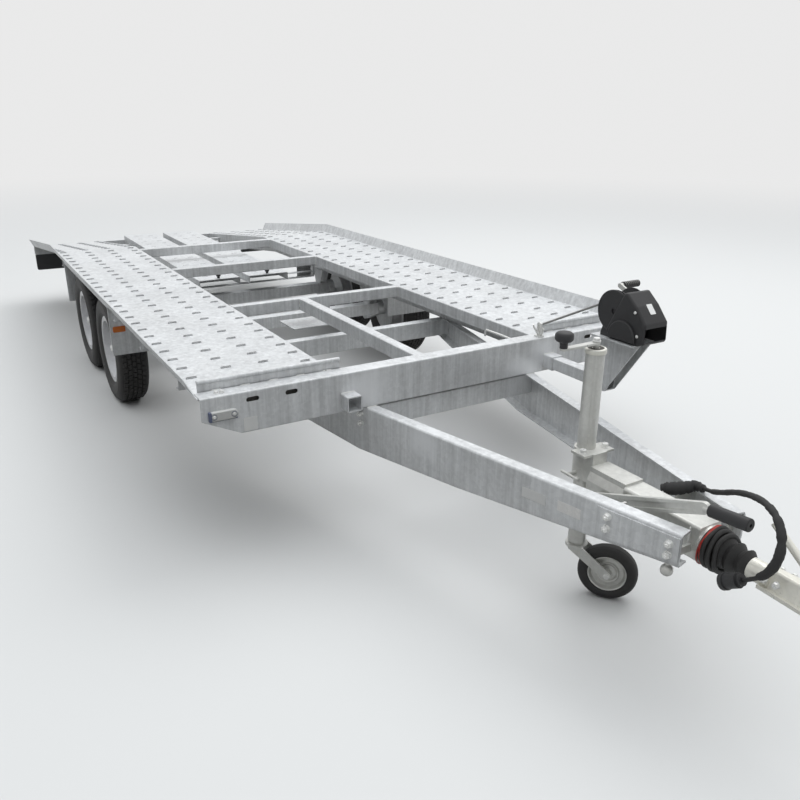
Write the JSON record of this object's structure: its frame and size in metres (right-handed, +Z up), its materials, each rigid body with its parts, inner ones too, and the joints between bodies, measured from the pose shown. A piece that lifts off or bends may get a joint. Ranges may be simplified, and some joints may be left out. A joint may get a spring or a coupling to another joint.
{
  "type": "car transporter trailer",
  "caption": "Open car transporter trailer with twin perforated wheel tracks, tandem axle, tapered drawbar, overrun coupling, jockey wheel, hand winch and stored ramps.",
  "frame": {"origin": "centre of the outline seen from above, on the ground", "axes": "+X forwards to the coupling, +Y to the left, +Z up"},
  "size_m": [6.42, 2.1, 0.9473],
  "materials": {
    "black_paint": "black powder coat",
    "black_plastic": "black moulded",
    "black_rubber": "matt",
    "cable_sheath": "black sheath",
    "clear_lens": "clear lens over white",
    "galvanised": "hot-dip galvanised, dull spangle",
    "red_lens": "red and amber lens in a black case",
    "tyre": "matt black rubber",
    "wheel_paint": "silver paint",
    "zinc": "bright zinc plate"
  },
  "bodies": {
    "chassis": {"arm_tie_front": "galvanised", "arm_tie_rear": "galvanised", "axle_front": "galvanised", "axle_rear": "galvanised", "bellows": "black_rubber", "coupling_handle": "zinc", "coupling_head": "zinc", "cross_member_front": "galvanised", "cross_member_middle": "galvanised", "cross_member_rear": "galvanised", "deck_track_left": "galvanised", "deck_track_right": "galvanised", "drawbar_arm_left": "galvanised", "drawbar_arm_right": "galvanised", "electric_lead": "cable_sheath", "front_beam": "galvanised", "front_marker_left": "clear_lens", "front_marker_right": "clear_lens", "jockey_clamp": "zinc", "lead_plug": "black_plastic", "lead_sleeve": "black_plastic", "main_rail_left": "galvanised", "main_rail_right": "galvanised", "mudguard_left": "galvanised", "mudguard_right": "galvanised", "outriggers_left": "galvanised", "outriggers_right": "galvanised", "overrun_housing": "zinc", "ramp_rest_front": "galvanised", "ramp_rest_rear": "galvanised", "rear_beam": "galvanised", "rear_lamp_left": "red_lens", "rear_lamp_right": "red_lens", "winch_cable": "zinc", "winch_cover": "black_plastic", "winch_frame": "black_paint", "winch_post": "galvanised"},
    "wheel_front_left": {"tyre_front_left": "tyre", "rim_front_left": "wheel_paint"},
    "wheel_front_right": {"tyre_front_right": "tyre", "rim_front_right": "wheel_paint"},
    "wheel_rear_left": {"tyre_rear_left": "tyre", "rim_rear_left": "wheel_paint"},
    "wheel_rear_right": {"tyre_rear_right": "tyre", "rim_rear_right": "wheel_paint"},
    "handbrake": {"handbrake_lever": "zinc", "handbrake_grip": "black_plastic"},
    "jockey_tube": {"jockey_outer": "zinc"},
    "jockey_screw": {"jockey_inner": "zinc"},
    "jockey_caster": {"jockey_fork": "zinc"},
    "jockey_roller": {"jockey_tyre": "tyre", "jockey_rim": "zinc"},
    "jockey_handle": {"jockey_crank": "zinc"},
    "winch_handle": {"winch_crank": "zinc"},
    "winch_spool": {"winch_drum": "black_paint"},
    "stored_ramp_left": {"ramp_left": "galvanised"},
    "stored_ramp_right": {"ramp_right": "galvanised"}
  },
  "joints": [
    {"name": "wheel_front_left_turn", "type": "hinge", "parent": "chassis", "child": "wheel_front_left", "pos_m": [-0.405, 0.9075, 0.3], "axis": [0, 1, 0], "continuous": true},
    {"name": "wheel_front_right_turn", "type": "hinge", "parent": "chassis", "child": "wheel_front_right", "pos_m": [-0.405, -0.9075, 0.3], "axis": [0, 1, 0], "continuous": true},
    {"name": "wheel_rear_left_turn", "type": "hinge", "parent": "chassis", "child": "wheel_rear_left", "pos_m": [-1.125, 0.9075, 0.3], "axis": [0, 1, 0], "continuous": true},
    {"name": "wheel_rear_right_turn", "type": "hinge", "parent": "chassis", "child": "wheel_rear_right", "pos_m": [-1.125, -0.9075, 0.3], "axis": [0, 1, 0], "continuous": true},
    {"name": "handbrake_pull", "type": "hinge", "parent": "chassis", "child": "handbrake", "pos_m": [2.45, -0.07, 0.43], "axis": [0, -1, 0], "range_deg": [0, 62]},
    {"name": "jockey_stow", "type": "slide", "parent": "chassis", "child": "jockey_tube", "axis": [0, 0, 1], "range_m": [0, 0.14]},
    {"name": "jockey_extend", "type": "slide", "parent": "jockey_tube", "child": "jockey_screw", "axis": [0, 0, 1], "range_m": [-0.2, 0]},
    {"name": "jockey_swivel", "type": "hinge", "parent": "jockey_screw", "child": "jockey_caster", "pos_m": [2.315, 0, 0.19], "axis": [0, 0, 1], "continuous": true},
    {"name": "jockey_roll", "type": "hinge", "parent": "jockey_caster", "child": "jockey_roller", "pos_m": [2.40326, 0.06895, 0.1], "axis": [-0.6157, 0.788, 0], "continuous": true},
    {"name": "jockey_crank_turn", "type": "hinge", "parent": "jockey_tube", "child": "jockey_handle", "pos_m": [2.315, 0, 0.888], "axis": [0, 0, 1], "continuous": true},
    {"name": "winch_crank_turn", "type": "hinge", "parent": "chassis", "child": "winch_handle", "pos_m": [2.03, 0.56, 0.852], "axis": [0, 1, 0], "continuous": true},
    {"name": "winch_drum_turn", "type": "hinge", "parent": "chassis", "child": "winch_spool", "pos_m": [1.97, 0.485, 0.862], "axis": [0, 1, 0], "continuous": true},
    {"name": "ramp_left_slide", "type": "slide", "parent": "chassis", "child": "stored_ramp_left", "axis": [-1, 0, 0], "range_m": [0, 1.5]},
    {"name": "ramp_right_slide", "type": "slide", "parent": "chassis", "child": "stored_ramp_right", "axis": [-1, 0, 0], "range_m": [0, 1.5]}
  ],
  "couplings": [
    {"joint": "winch_drum_turn", "follows": "winch_crank_turn", "ratio": -0.2}
  ]
}
